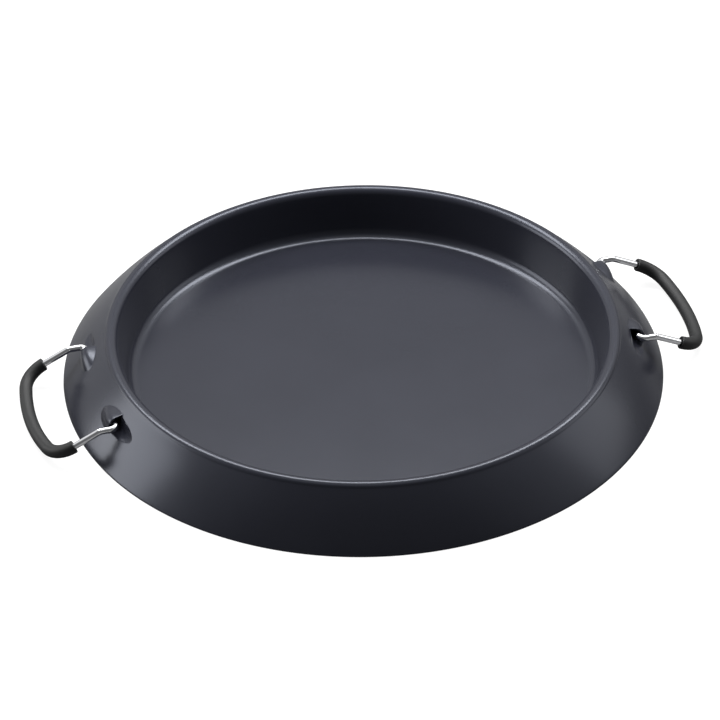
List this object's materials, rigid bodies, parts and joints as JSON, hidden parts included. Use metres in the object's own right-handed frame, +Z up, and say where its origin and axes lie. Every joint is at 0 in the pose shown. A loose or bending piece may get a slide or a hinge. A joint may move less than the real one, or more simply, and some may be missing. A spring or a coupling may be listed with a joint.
{
  "type": "round griddle pan with skirt and bail handles",
  "caption": "Round dark non-stick pan pressed from sheet metal, with a deep flat well, an arched rim, a wide flared skirt and hinged wire bail handles with soft grip sleeves.",
  "frame": {"origin": "middle of the flat underside of the pan, on the table", "axes": "+Z up out of the well, +X towards the right handle, -Y towards the side that faces the viewer"},
  "size_m": [0.4264, 0.37, 0.0324],
  "materials": {
    "nonstick_coating": "satin charcoal non-stick coating on pressed sheet steel",
    "chrome_wire": "bright chrome-plated steel wire",
    "grip_rubber": "matt black silicone rubber tube"
  },
  "bodies": {
    "pan": {"pan_body": "nonstick_coating"},
    "right_handle": {"right_handle_wire": "chrome_wire", "right_handle_sleeve": "grip_rubber"},
    "left_handle": {"left_handle_wire": "chrome_wire", "left_handle_sleeve": "grip_rubber"}
  },
  "joints": [
    {"name": "right_handle_hinge", "type": "hinge", "parent": "pan", "child": "right_handle", "pos_m": [0.16517, 0, 0.0207], "axis": [0, -1, 0], "range_deg": [0, 125]},
    {"name": "left_handle_hinge", "type": "hinge", "parent": "pan", "child": "left_handle", "pos_m": [-0.16517, 0, 0.0207], "axis": [0, 1, 0], "range_deg": [0, 125]}
  ]
}
